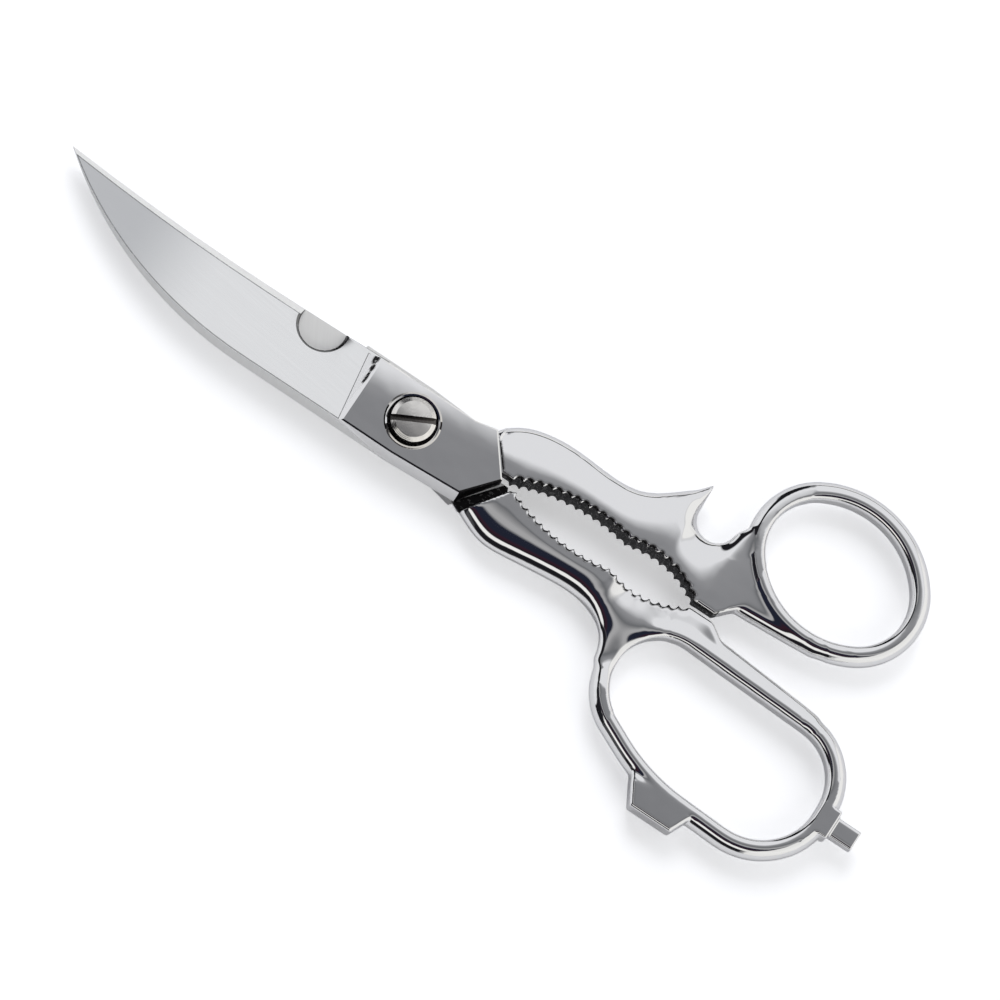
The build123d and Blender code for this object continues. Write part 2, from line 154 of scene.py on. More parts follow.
# %% Shader node helpers
def new_node(tree, kind, at, **values):
    """A shader node placed at (column, row), with its inputs set by name."""
    node = tree.nodes.new(kind)
    node.location = (at[0] * 200, -at[1] * 180)
    for name, value in values.items():
        node.inputs[name.replace("_", " ")].default_value = value
    return node


def new_math(tree, operation, at, *sources):
    """A Math node whose inputs are sockets or plain numbers; gives its output socket."""
    node = new_node(tree, "ShaderNodeMath", at)
    node.operation = operation
    for slot, source in enumerate(sources):
        if isinstance(source, (int, float)):
            node.inputs[slot].default_value = source
        else:
            tree.links.new(source, node.inputs[slot])
    return node.outputs[0]


def new_mix(tree, at, factor, first, second):
    """A colour mix whose inputs are sockets or plain colours; gives its output socket."""
    node = new_node(tree, "ShaderNodeMix", at)
    node.data_type = "RGBA"
    tree.links.new(factor, node.inputs["Factor"])
    for name, source in (("A", first), ("B", second)):
        if isinstance(source, tuple):
            node.inputs[name].default_value = (*source, 1)
        else:
            tree.links.new(source, node.inputs[name])
    return node.outputs["Result"]


def new_ramp(tree, at, factor, stops):
    """A colour ramp from (place, colour, alpha) stops."""
    node = new_node(tree, "ShaderNodeValToRGB", at)
    elements = node.color_ramp.elements
    for index, (place, colour, alpha) in enumerate(stops):
        element = elements[index] if index < 2 else elements.new(place)
        element.position = place
        element.color = (*colour, alpha)
    tree.links.new(factor, node.inputs[0])
    return node


# %% [markdown]
# The world turns the direction of a ray into a colour. The angle round the X axis drives the first
# ramp, and the part of the direction along X drives the second. A picture of a real studio would
# work too, but bands in a ramp can be moved until they fall where the photograph has them. Camera
# rays see plain white instead.

# %% Studio world
def build_studio():
    """Draw the bands and the end boxes into the world's shader."""
    world = bpy.data.worlds.new("studio")
    world.use_nodes = True
    tree = world.node_tree
    tree.nodes.clear()
    direction = new_node(tree, "ShaderNodeTexCoord", (0, 0))
    parts = new_node(tree, "ShaderNodeSeparateXYZ", (1, 0))
    tree.links.new(direction.outputs["Generated"], parts.inputs[0])
    angle = new_math(tree, "ARCTAN2", (2, 0), parts.outputs["Z"], parts.outputs["Y"])
    share = new_math(tree, "DIVIDE", (3, 0), angle, pi)
    along = new_ramp(tree, (4, 0), share, [(place, colour, 1) for place, colour in ALONG_BANDS])
    end_share = new_math(tree, "MULTIPLY_ADD", (3, 2), parts.outputs["X"], 0.5, 0.5)
    end_stops = [((x + 1) / 2, colour, cover) for x, colour, cover in END_BANDS]
    ends = new_ramp(tree, (4, 2), end_share, end_stops)
    both = new_mix(tree, (6, 0), ends.outputs["Alpha"], along.outputs["Color"], ends.outputs["Color"])
    light_path = new_node(tree, "ShaderNodeLightPath", (6, 2))
    shown = new_mix(tree, (7, 0), light_path.outputs["Is Camera Ray"], both, (1.0, 1.0, 1.0))
    background = new_node(tree, "ShaderNodeBackground", (8, 0), Strength=1.0)
    tree.links.new(shown, background.inputs["Color"])
    output = new_node(tree, "ShaderNodeOutputWorld", (9, 0))
    tree.links.new(background.outputs[0], output.inputs[0])
    bpy.context.scene.world = world
    print("world", world.name, "with", len(tree.nodes), "nodes")


build_studio()
bpy.context.scene.view_settings.view_transform = "Standard"

# %% [markdown]
# One large lamp high on the far side gives the soft shadow that falls towards the viewer. A sun lamp
# would draw a hard one. The lamp is hidden from mirror rays, because a square patch of light in the
# steel would break up the bands.

# %% Key lamp
KEY_PLACE = Vector((-0.5, 0.9, 1.1))
KEY_SIZE = 0.9
KEY_POWER = 9.0

lamp_data = bpy.data.lights.new("key_lamp", "AREA")
lamp_data.shape = "SQUARE"
lamp_data.size = KEY_SIZE
lamp_data.energy = KEY_POWER
key_lamp = bpy.data.objects.new("key_lamp", lamp_data)
bpy.context.scene.collection.objects.link(key_lamp)
facing = (-KEY_PLACE).to_track_quat("-Z", "Y").to_matrix().to_4x4()
key_lamp.matrix_world = Matrix.Translation(KEY_PLACE) @ facing
key_lamp.visible_glossy = False
print("key lamp", KEY_POWER, "W at", [round(v, 2) for v in KEY_PLACE])

# %% [markdown]
# The floor is a white sheet. It is lit like everything else, so it keeps the soft shadow of the
# shears. For camera rays it adds a little light of its own to come out white, and for mirror rays
# rather less, so that an edge that mirrors the floor still shows against it.

# %% Floor
FLOOR_SIZE = 3.0
FLOOR_COLOUR = (0.86, 0.87, 0.90, 1)
FLOOR_ROUGH = 0.9
FLOOR_LIFT = 0.42
MIRROR_LIFT = 0.10


def build_floor():
    """A square sheet in the plane that the shears lie on."""
    bm = bmesh.new()
    bmesh.ops.create_grid(bm, x_segments=1, y_segments=1, size=FLOOR_SIZE)
    mesh = bpy.data.meshes.new("floor")
    bm.to_mesh(mesh)
    bm.free()
    floor = bpy.data.objects.new("floor", mesh)
    bpy.context.scene.collection.objects.link(floor)
    material = bpy.data.materials.new("floor_paper")
    material.use_nodes = True
    tree = material.node_tree
    shader = tree.nodes["Principled BSDF"]
    shader.inputs["Base Color"].default_value = FLOOR_COLOUR
    shader.inputs["Roughness"].default_value = FLOOR_ROUGH
    shader.inputs["Emission Color"].default_value = (1, 1, 1, 1)
    light_path = new_node(tree, "ShaderNodeLightPath", (-5, 2))
    seen = new_math(tree, "MULTIPLY", (-4, 2), light_path.outputs["Is Camera Ray"], FLOOR_LIFT)
    mirrored_in = new_math(tree, "MULTIPLY", (-4, 3), light_path.outputs["Is Glossy Ray"], MIRROR_LIFT)
    lift = new_math(tree, "ADD", (-3, 2), seen, mirrored_in)
    tree.links.new(lift, shader.inputs["Emission Strength"])
    mesh.materials.append(material)
    return floor


build_floor()
print("floor", 2 * FLOOR_SIZE, "m wide")

# %% [markdown]
# Three effects are shared by the steels, so each is a node group that is built once and placed in
# every material with that material's own values. The first is the fine lines that grinding and
# polishing leave, which all run one way. An image of scratches would repeat along the blade, so a
# noise is used, stretched along the lines.

# %% Brush lines
def new_group(name, inputs, outputs):
    """An empty node group with float sockets; gives the tree and its two end nodes."""
    group = bpy.data.node_groups.new(name, "ShaderNodeTree")
    for label, value in inputs.items():
        socket = group.interface.new_socket(label, in_out="INPUT", socket_type="NodeSocketFloat")
        socket.default_value = value
    for label in outputs:
        group.interface.new_socket(label, in_out="OUTPUT", socket_type="NodeSocketFloat")
    start = new_node(group, "NodeGroupInput", (0, 0))
    end = new_node(group, "NodeGroupOutput", (8, 0))
    return group, start.outputs, end.inputs


def build_brush_lines():
    """Fine lines from a belt: Turn is their direction, Spacing and Length their size in metres."""
    sizes = {"Turn": 0.0, "Spacing": 0.3 * MM, "Length": 12 * MM}
    group, given, out = new_group("brush_lines", sizes, ["Lines"])
    place = new_node(group, "ShaderNodeTexCoord", (0, 2))
    turned_place = new_node(group, "ShaderNodeVectorRotate", (1, 1), Axis=(0, 0, 1))
    group.links.new(place.outputs["Object"], turned_place.inputs["Vector"])
    group.links.new(given["Turn"], turned_place.inputs["Angle"])
    along = new_math(group, "DIVIDE", (2, 2), 1.0, given["Length"])
    across = new_math(group, "DIVIDE", (2, 3), 1.0, given["Spacing"])
    scale = new_node(group, "ShaderNodeCombineXYZ", (3, 2))
    group.links.new(along, scale.inputs["X"])
    group.links.new(across, scale.inputs["Y"])
    group.links.new(along, scale.inputs["Z"])
    stretched = new_node(group, "ShaderNodeVectorMath", (4, 1))
    stretched.operation = "MULTIPLY"
    group.links.new(turned_place.outputs[0], stretched.inputs[0])
    group.links.new(scale.outputs[0], stretched.inputs[1])
    noise = new_node(group, "ShaderNodeTexNoise", (5, 1), Scale=1.0, Detail=3.0, Roughness=0.6)
    group.links.new(stretched.outputs[0], noise.inputs["Vector"])
    group.links.new(noise.outputs[0], out["Lines"])
    return group


brush_lines = build_brush_lines()
print("effect", brush_lines.name, "with", len(brush_lines.nodes), "nodes")

# %% [markdown]
# A hand-polished surface is never quite flat, so the bands that it mirrors wave a little. The second
# effect is a slow noise, which the steels use as a height. Waves in the mesh would do the same, but
# they are a few hundredths of a millimetre deep, which is less than the mesh can show.

# %% Polish waves
def build_polish_waves():
    """Slow waves in a polished surface: Size is their width in metres."""
    group, given, out = new_group("polish_waves", {"Size": 9 * MM}, ["Waves"])
    place = new_node(group, "ShaderNodeTexCoord", (0, 2))
    scale = new_math(group, "DIVIDE", (2, 2), 1.0, given["Size"])
    noise = new_node(group, "ShaderNodeTexNoise", (5, 1), Detail=2.0, Roughness=0.4)
    group.links.new(place.outputs["Object"], noise.inputs["Vector"])
    group.links.new(scale, noise.inputs["Scale"])
    group.links.new(noise.outputs[0], out["Waves"])
    return group


polish_waves = build_polish_waves()
print("effect", polish_waves.name, "with", len(polish_waves.nodes), "nodes")

# %% [markdown]
# Shade is painted dark into the notch, the gap round the screw's head and the gap behind the block,
# and a painted shadow onto the lower half's side under the block. The teeth, a few patches of the
# ramp and the rim line of the blade's face are darkened too, and on the plate all of these are
# rougher. Only the shape knows where they are, so the mesh marks them with an attribute named
# recess, and the third effect breaks the mark up with a fine grain.

# %% Painted shade and dark marks
SPECK_LEVEL = 0.62


def build_shade_and_dark_marks():
    """The recess attribute, broken up by a fine grain of the given size in metres."""
    group, given, out = new_group("shade_and_dark_marks", {"Grain": 0.6 * MM, "Bare": 0.35}, ["Grime"])
    place = new_node(group, "ShaderNodeTexCoord", (0, 2))
    scale = new_math(group, "DIVIDE", (2, 2), 1.0, given["Grain"])
    noise = new_node(group, "ShaderNodeTexNoise", (3, 2), Detail=3.0)
    group.links.new(place.outputs["Object"], noise.inputs["Vector"])
    group.links.new(scale, noise.inputs["Scale"])
    marked = new_node(group, "ShaderNodeAttribute", (3, 0))
    marked.attribute_name = "recess"
    speck = new_math(group, "GREATER_THAN", (4, 2), noise.outputs[0], SPECK_LEVEL)
    bare = new_math(group, "MULTIPLY", (5, 2), speck, given["Bare"])
    kept = new_math(group, "SUBTRACT", (6, 2), 1.0, bare)
    darkening = new_math(group, "MULTIPLY", (7, 1), marked.outputs["Fac"], kept)
    group.links.new(darkening, out["Grime"])
    return group


shade_and_dark_marks = build_shade_and_dark_marks()
print("effect", shade_and_dark_marks.name, "with", len(shade_and_dark_marks.nodes), "nodes")

# %% [markdown]
# Every steel starts the same way, as a Principled shader that is all metal. An effect comes in as a
# group node, whose values are set by name, and a height goes through a Bump node to the normal.

# %% Steel helpers
def place_group(tree, group, at, **values):
    """Put a shared effect into a material; gives its output socket."""
    node = new_node(tree, "ShaderNodeGroup", at)
    node.node_tree = group
    for name, value in values.items():
        node.inputs[name].default_value = value
    return node.outputs[0]


def new_steel(name):
    """A metal material; gives it, its tree and its Principled shader."""
    material = bpy.data.materials.new(name)
    material.use_nodes = True
    shader = material.node_tree.nodes["Principled BSDF"]
    shader.inputs["Metallic"].default_value = 1.0
    return material, material.node_tree, shader


def add_bump(tree, shader, at, height, depth=1.0):
    """Let a height, times depth in metres, lean the shader's normal."""
    bump = new_node(tree, "ShaderNodeBump", at, Strength=1.0, Distance=depth)
    tree.links.new(height, bump.inputs["Height"])
    tree.links.new(bump.outputs[0], shader.inputs["Normal"])


# %% [markdown]
# Nickel plate is the finish of the handles and of the block: a mirror with a faint warm cast. Its
# edge tint is lower than its colour, which draws the thin grey rim that bright metal has against a
# white sheet. The waves go to the normal, the faint polishing lines to the roughness, and the painted
# shade and the darkened marks to the colour and the roughness.
#
# The block's top looks flat, but hand grinding leaves it leaning a little along the edge on the ring
# side, and there it mirrors the bright box instead of the ceiling. Cutting the top into strips and
# lowering them shows as steps in so clear a mirror. So the block has its own copy of the plate, with
# a parabola 0.3 mm deep added to the height that feeds the bump.

# %% Nickel plate
NICKEL = (0.84, 0.835, 0.83)
NICKEL_RIM = (0.76, 0.76, 0.77)
# The colour of painted shade and of the darkened marks that the recess attribute carries.
SHADE_AND_MARK_DARK = (0.018, 0.017, 0.018)
NICKEL_ROUGH = 0.045
NICKEL_SMOOTHEST = NICKEL_ROUGH - 0.02
NICKEL_LINES = 0.05
DARKENED_ROUGH = 0.35
WAVE_DEPTH = 0.045 * MM
CROWN_START = 0.8 * MM
CROWN_END = 8.6 * MM
CROWN_DROP = 0.30 * MM
CROWN_TURN = radians(8)


def crown_height(tree):
    """The height of the block's top in metres: level, then falling as a parabola to its +Y edge."""
    place = new_node(tree, "ShaderNodeTexCoord", (-9, 4))
    across = new_node(tree, "ShaderNodeVectorMath", (-8, 4))
    across.operation = "DOT_PRODUCT"
    across.inputs[1].default_value = (-sin(CROWN_TURN), cos(CROWN_TURN), 0)
    tree.links.new(place.outputs["Object"], across.inputs[0])
    past = new_math(tree, "SUBTRACT", (-7, 4), across.outputs["Value"], CROWN_START)
    leaning = new_math(tree, "MAXIMUM", (-6, 4), past, 0.0)
    square = new_math(tree, "MULTIPLY", (-5, 4), leaning, leaning)
    return new_math(tree, "MULTIPLY", (-4, 4), square, -CROWN_DROP / (CROWN_END - CROWN_START) ** 2)


def build_nickel(name, crowned=False):
    """The mirror of the handles, or with the crown that of the block."""
    material, tree, shader = new_steel(name)
    darkening = place_group(tree, shade_and_dark_marks, (-6, 0))
    tree.links.new(new_mix(tree, (-2, 0), darkening, NICKEL, SHADE_AND_MARK_DARK), shader.inputs["Base Color"])
    shader.inputs["Specular Tint"].default_value = (*NICKEL_RIM, 1)
    lines = place_group(tree, brush_lines, (-6, 1), Spacing=0.5 * MM, Length=20 * MM)
    polished = new_math(tree, "MULTIPLY_ADD", (-4, 1), lines, NICKEL_LINES, NICKEL_SMOOTHEST)
    dull = new_math(tree, "MULTIPLY_ADD", (-3, 1), darkening, DARKENED_ROUGH, polished)
    tree.links.new(dull, shader.inputs["Roughness"])
    waves = place_group(tree, polish_waves, (-6, 2))
    base = crown_height(tree) if crowned else 0.0
    height = new_math(tree, "MULTIPLY_ADD", (-3, 2), waves, WAVE_DEPTH, base)
    add_bump(tree, shader, (-2, 2), height)
    return material


nickel = build_nickel("nickel_plate")
block_plate = build_nickel("block_plate", crowned=True)
print("nickel plate", NICKEL, "roughness", NICKEL_ROUGH, "crown", CROWN_DROP / MM, "mm")

# %% [markdown]
# The blade's face is ground, not plated to a mirror: a satin light grey with fine lines along the
# blade, which turns darker towards the point. The faces where the two blades rub and the spine are
# ground on a coarser stone, so they scatter more light, which a lower Metallic gives, and look paler.
# The cutting bevel is honed last and is the palest. All three are one recipe with other values.

# %% Ground steels
TIP_START, TIP_END = -48 * MM, -70 * MM
GROUND = (0.88, 0.88, 0.87)
GROUND_TIP = (0.57, 0.575, 0.58)
PALE = (0.93, 0.93, 0.92)
EDGE_PALE = (0.95, 0.95, 0.94)
ALONG_BLADE, ACROSS_BLADE = radians(8), radians(60)
LINE_COLOUR = 0.7
LINE_COVER, MOST_COVER = -0.35, 0.30
LINE_ROUGH = 0.12


def build_ground(name, colour, tip_colour, rough, turn, spacing, metal=1.0):
    """Ground steel: turn and spacing are those of its lines, and a low metal scatters more light."""
    material, tree, shader = new_steel(name)
    shader.inputs["Metallic"].default_value = metal
    place = new_node(tree, "ShaderNodeTexCoord", (-9, 0))
    parts = new_node(tree, "ShaderNodeSeparateXYZ", (-8, 0))
    tree.links.new(place.outputs["Object"], parts.inputs[0])
    towards_tip = new_node(
        tree, "ShaderNodeMapRange", (-7, 0), From_Min=TIP_START, From_Max=TIP_END
    )
    towards_tip.interpolation_type = "SMOOTHSTEP"
    tree.links.new(parts.outputs["X"], towards_tip.inputs["Value"])
    face = new_mix(tree, (-5, 0), towards_tip.outputs[0], colour, tip_colour)
    lines = place_group(tree, brush_lines, (-8, 2), Turn=turn, Spacing=spacing, Length=14 * MM)
    shade = new_math(tree, "MULTIPLY_ADD", (-6, 2), lines, LINE_COVER, MOST_COVER)
    lined = new_mix(tree, (-4, 0), shade, face, tuple(level * LINE_COLOUR for level in colour))
    # Painted shade and darkened marks from the recess attribute.
    darkening = place_group(tree, shade_and_dark_marks, (-5, 3))
    tree.links.new(new_mix(tree, (-2, 0), darkening, lined, SHADE_AND_MARK_DARK), shader.inputs["Base Color"])
    shader.inputs["Specular Tint"].default_value = (*NICKEL_RIM, 1)
    uneven = new_math(tree, "MULTIPLY_ADD", (-4, 2), lines, LINE_ROUGH, rough - LINE_ROUGH / 2)
    tree.links.new(uneven, shader.inputs["Roughness"])
    waves = place_group(tree, polish_waves, (-6, 4), Size=22 * MM)
    add_bump(tree, shader, (-2, 2), waves, WAVE_DEPTH)
    return material


ground_blade = build_ground(
    "ground_blade", GROUND, GROUND_TIP, rough=0.16, turn=ALONG_BLADE, spacing=0.35 * MM
)
ground_flat = build_ground(
    "ground_flat", PALE, PALE, rough=0.42, turn=ACROSS_BLADE, spacing=0.5 * MM, metal=0.35
)
ground_edge = build_ground(
    "ground_edge", EDGE_PALE, EDGE_PALE, rough=0.4, turn=ALONG_BLADE, spacing=0.25 * MM, metal=0.4
)
print("ground steels", [steel.name for steel in (ground_blade, ground_flat, ground_edge)])

# %% [markdown]
# The screw is plain steel, turned on a lathe and left so. Turning leaves rings round its axis and a
# face that is very slightly crowned, and the crown is what puts a light and a dark side on it. Both
# are heights worked out from the distance to the axis, which go to a bump. The slot gets painted shade
# below its lip. The screw keeps the imported model's own mesh, so its material is all that changes.

# %% Screw
SCREW_COLOUR = (0.94, 0.915, 0.87)
SCREW_DARKER = 0.74
SCREW_ROUGH, SCREW_UNEVEN = 0.12, 0.2
RING_SPACING = 0.28 * MM
RING_DEPTH = 0.004 * MM
HEAD_CROWN = 0.42 * MM
HEAD_RADIUS = 4.65 * MM
SLOT_TURN = radians(-28)
SLOT_HALF_WIDTH = 0.64 * MM
SLOT_SHADE = (0.14, 0.13, 0.12)
SLOT_LIP = 0.15 * MM
screw_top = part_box("pivot_screw")[1].z


def build_screw_steel():
    """Turned steel with rings and a crown round the axis, and painted shade in the slot."""
    material, tree, shader = new_steel("screw_steel")
    place = new_node(tree, "ShaderNodeTexCoord", (-9, 0))
    flat_place = new_node(tree, "ShaderNodeVectorMath", (-8, 0))
    flat_place.operation = "MULTIPLY"
    flat_place.inputs[1].default_value = (1, 1, 0)
    tree.links.new(place.outputs["Object"], flat_place.inputs[0])
    reach = new_node(tree, "ShaderNodeVectorMath", (-7, 0))
    reach.operation = "LENGTH"
    tree.links.new(flat_place.outputs[0], reach.inputs[0])
    radius = reach.outputs["Value"]
    share = new_math(tree, "DIVIDE", (-6, 0), radius, HEAD_RADIUS)
    crown = new_math(tree, "POWER", (-5, 0), share, 2.0)
    turns = new_math(tree, "MULTIPLY", (-6, 1), radius, 2 * pi / RING_SPACING)
    rings = new_math(tree, "SINE", (-5, 1), turns)
    height = new_math(tree, "MULTIPLY_ADD", (-4, 0), crown, -HEAD_CROWN, 0.0)
    height = new_math(tree, "MULTIPLY_ADD", (-3, 0), rings, RING_DEPTH, height)
    add_bump(tree, shader, (-2, 0), height)
    waves = place_group(tree, polish_waves, (-6, 3), Size=1.6 * MM)
    darker = tuple(level * SCREW_DARKER for level in SCREW_COLOUR)
    face = new_mix(tree, (-3, 3), waves, SCREW_COLOUR, darker)
    along_slot = new_node(
        tree, "ShaderNodeVectorRotate", (-8, 5), Axis=(0, 0, 1), Angle=SLOT_TURN
    )
    tree.links.new(place.outputs["Object"], along_slot.inputs["Vector"])
    parts = new_node(tree, "ShaderNodeSeparateXYZ", (-7, 5))
    tree.links.new(along_slot.outputs[0], parts.inputs[0])
    off_slot = new_math(tree, "ABSOLUTE", (-6, 5), parts.outputs["Y"])
    in_slot = new_math(tree, "LESS_THAN", (-5, 5), off_slot, SLOT_HALF_WIDTH)
    lip_height = screw_top - SLOT_LIP
    below_face = new_math(tree, "LESS_THAN", (-5, 6), parts.outputs["Z"], lip_height)
    slot = new_math(tree, "MULTIPLY", (-4, 5), in_slot, below_face)
    tree.links.new(new_mix(tree, (-2, 3), slot, face, SLOT_SHADE), shader.inputs["Base Color"])
    uneven = new_math(tree, "MULTIPLY_ADD", (-2, 4), waves, SCREW_UNEVEN, SCREW_ROUGH)
    tree.links.new(uneven, shader.inputs["Roughness"])
    return material


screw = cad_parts["pivot_screw"]
screw.data.materials.clear()
screw.data.materials.append(build_screw_steel())
print("screw rings every", RING_SPACING / MM, "mm")

# %% [markdown]
# Each half of the shears is one forging, but two kinds of surface meet on it: the blade and the
# block round the screw are ground flat with crisp edges, and the handle behind the block is forged
# round and polished. So a merged copy of each CAD half is cut at the block's rear face. The front
# keeps its flat faces. The rear is the clay for the handle.

# %% Cutting the halves
MERGE = 0.002 * MM
SEAM_POINT = Vector((21.7, 0, 0)) * MM
SEAM_NORMAL = Vector((0.78, 0.62, 0)).normalized()
SEAM_OVERLAP = 0.2 * MM


def cad_copy(node):
    """A merged copy of a CAD node's mesh; the node itself is left alone."""
    bm = bmesh.new()
    bm.from_mesh(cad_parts[node].data)
    bmesh.ops.remove_doubles(bm, verts=bm.verts, dist=MERGE)
    return bm


def whole(bm):
    """Every vertex, edge and face, for an operator that works on all of them."""
    return bm.verts[:] + bm.edges[:] + bm.faces[:]


def cut(bm, point, normal):
    """Take away what lies ahead of a plane and close the cut."""
    bmesh.ops.bisect_plane(bm, geom=whole(bm), plane_co=point, plane_no=normal, clear_outer=True)
    rim = [edge for edge in bm.edges if edge.is_boundary]
    bmesh.ops.triangle_fill(bm, edges=rim, use_beauty=True)
    bmesh.ops.recalc_face_normals(bm, faces=bm.faces)


def seam_normal(side):
    """The seam's normal on the thumb half, side 1, or on the finger half, side -1."""
    return Vector((SEAM_NORMAL.x, SEAM_NORMAL.y * side, 0))


print("seam", round(SEAM_POINT.x / MM, 1), "mm behind the screw, overlap", SEAM_OVERLAP / MM, "mm")

# %% [markdown]
# A finished mesh becomes an object with its steels.

# %% Adding a piece
def add_piece(bm, name, body, materials, node):
    """Turn a finished bmesh into a named piece that stands for a CAD node."""
    mesh = bpy.data.meshes.new(name)
    triangles = sum(len(face.verts) - 2 for face in bm.faces)
    bm.to_mesh(mesh)
    bm.free()
    for material in materials:
        mesh.materials.append(material)
    piece = bpy.data.objects.new(name, mesh)
    bpy.context.scene.collection.objects.link(piece)
    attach(piece, body)
    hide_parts(node)
    print(name, triangles, "triangles")


# %% [markdown]
# The ramp in front of the block is where the grinding wheel stopped. It is bright, with a few dark
# patches at its deep end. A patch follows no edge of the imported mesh, so rows of plane cuts divide
# the ramp into small cells first, and each cell takes its darkness from the place of its middle.

# %% Ramp
RAMP = (-19 * MM, -12 * MM)
RAMP_LEAN = 0.3
RAMP_CELL = 0.25 * MM
RAMP_CUTS = range(2, 36)
RAMP_LEVELS = range(1, 12)
DARK_PATCHES = [
    (6.9 * MM, 7.6 * MM, 1.3 * MM, 0.6 * MM),
    (4.7 * MM, 8.0 * MM, 0.9 * MM, 0.38 * MM),
    (2.3 * MM, 8.05 * MM, 1.4 * MM, 0.33 * MM),
]
PATCH_EDGE = (0.8, 1.3)


def is_ramp(face):
    """True on the slope between the blade's face and the block, which looks forwards and up."""
    leans = face.normal.x < -RAMP_LEAN and face.normal.z > RAMP_LEAN
    return leans and RAMP[0] < face.calc_center_median().x < RAMP[1]


def divide_ramp(bm):
    """Cut the ramp into cells, so that patches of it can be dark."""
    across = [Vector((0, RAMP_CELL * count, 0)) for count in RAMP_CUTS]
    downwards = [Vector((0, 0, block_top - RAMP_CELL * count)) for count in RAMP_LEVELS]
    for place in across + downwards:
        ramp = [face for face in bm.faces if is_ramp(face)]
        geometry = list({part for face in ramp for part in (*face.verts, *face.edges, face)})
        bmesh.ops.bisect_plane(bm, geom=geometry, plane_co=place, plane_no=place)
    print("ramp divided into", sum(is_ramp(face) for face in bm.faces), "cells")


def ramp_patches(centre):
    """Dark in a few long patches, given as (y, z, half length, half height)."""
    level = 0
    for y, z, half_length, half_height in DARK_PATCHES:
        away = hypot((centre.y - y) / half_length, (centre.z - z) / half_height)
        level = max(level, 1 - ease(away, *PATCH_EDGE))
    return level


# %% [markdown]
# A ground edge is never a line without width. The block's top gets a narrow chamfer, which shows as
# the fine line that runs round it and round the screw's bore. A bevel is no wider than the shortest
# edge near it lets it be, and the imported mesh has very short ones. So the top is inset, and the old
# border, which is the new rim's outer side, is lowered. The blade's face is inset as well, without
# lowering: its rim is darkened into the fine dark line along the spine and the bevel.

# %% Crisp edges
TOP_MARGIN = 0.05 * MM
CHAMFER = 0.34 * MM
CHAMFER_DROP = 0.26 * MM
FACE_LINE = 0.15 * MM
LAP_MARGIN = 0.2 * MM
NOTCH = (-25.8 * MM, 7.1 * MM)
NOTCH_RADIUS = 6.2 * MM
NOTCH_CHAMFER = 0.32 * MM
CREASE = radians(16)
FLAT_CREASE = radians(1)
FLAT_AREA = 4 * MM * MM
BLADE_END = -10 * MM
BLADE_MARGIN = 0.4 * MM
LEVEL = 0.97
NEARLY_LEVEL = 0.9
HALF_LEVEL = 0.5


def is_blade_face(face, side):
    """True on the ground face of the blade, but not on its edge bevel, its spine or the ramp."""
    centre = face.calc_center_median()
    if centre.x > BLADE_END or abs(face.normal.x) > RAMP_LEAN or face.normal.z * side < NEARLY_LEVEL:
        return False
    return LAP_MARGIN < abs(centre.z - MIDDLE) < MIDDLE - BLADE_MARGIN


def chamfer_top(bm, side):
    """Chamfer the outer flat of the block, above on side 1 and below on side -1."""
    height = block_top if side > 0 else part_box("finger_half")[0].z
    top = []
    for face in bm.faces:
        centre = face.calc_center_median()
        if face.normal.z * side > LEVEL and abs(centre.z - height) < TOP_MARGIN:
            top.append(face)
    kept = set(top)
    rim = bmesh.ops.inset_region(
        bm, faces=top, thickness=CHAMFER, depth=0, use_boundary=True, use_even_offset=True
    )["faces"]
    border = {vert for face in rim for edge in face.edges for vert in edge.verts}
    border -= {vert for face in kept if face.is_valid for vert in face.verts}
    for vert in border:
        vert.co.z -= CHAMFER_DROP * side
    print("chamfered", len(rim), "faces round the block's flat")


def line_blade(bm, side):
    """Give the blade's ground face a narrow rim, chamfered at the notch, and return the rim."""
    ground = [face for face in bm.faces if is_blade_face(face, side)]
    rim = bmesh.ops.inset_region(
        bm, faces=ground, thickness=FACE_LINE, depth=0, use_boundary=True, use_even_offset=True
    )["faces"]
    inner = {vert for face in ground if face.is_valid for vert in face.verts}
    for vert in {vert for face in rim for vert in face.verts}:
        away = Vector((vert.co.x - NOTCH[0], vert.co.y - NOTCH[1], 0))
        if side < 0 or away.length > NOTCH_RADIUS:
            continue
        if vert in inner:
            vert.co += away.normalized() * NOTCH_CHAMFER
        else:
            vert.co.z -= NOTCH_CHAMFER
    return rim


def crease(bm):
    """Smooth faces, with hard edges where they turn sharply or border a large flat."""
    for face in bm.faces:
        face.smooth = True
    for edge in bm.edges:
        if len(edge.link_faces) != 2:
            continue
        turn = edge.calc_face_angle(0)
        flat = max(face.calc_area() for face in edge.link_faces) > FLAT_AREA
        edge.smooth = turn < CREASE and not (flat and turn > FLAT_CREASE)


# %% [markdown]
# The fronts carry five finishes, and each face gets the number of its own: the plate, the blade's
# ground face, the flats (the spine and the faces where the halves rub), the cutting bevel, and the
# block's crowned top. Painting them by hand would have to be done again for each new model.glb, so
# a face is known by where it looks and where it lies. Shade is painted dark into the notch's wall,
# the gap round the screw's head and the wall over the vee behind the block, a painted shadow darkens
# the lower half's side under the block, and the ramp's patches and the blade face's rim are darker.

# %% Fronts
PLATE, FACE, FLAT, BEVEL, CROWNED = range(5)
BORE_RADIUS = 5.35 * MM
BORE_INNER = 3.2 * MM
VEE_FACING = 0.4
UNDERCUT = (-30 * MM, 0)
# A painted shadow on the lower half's side under the block, fading in along X.
UNDERCUT_SHADOW = 0.4
# How dark the rim line round the blade's ground face is made.
LINE_DARKNESS = 0.8
# Painted shade in the notch, round the screw's head and in the vee behind the block.
DEEP_SHADE = 1.4


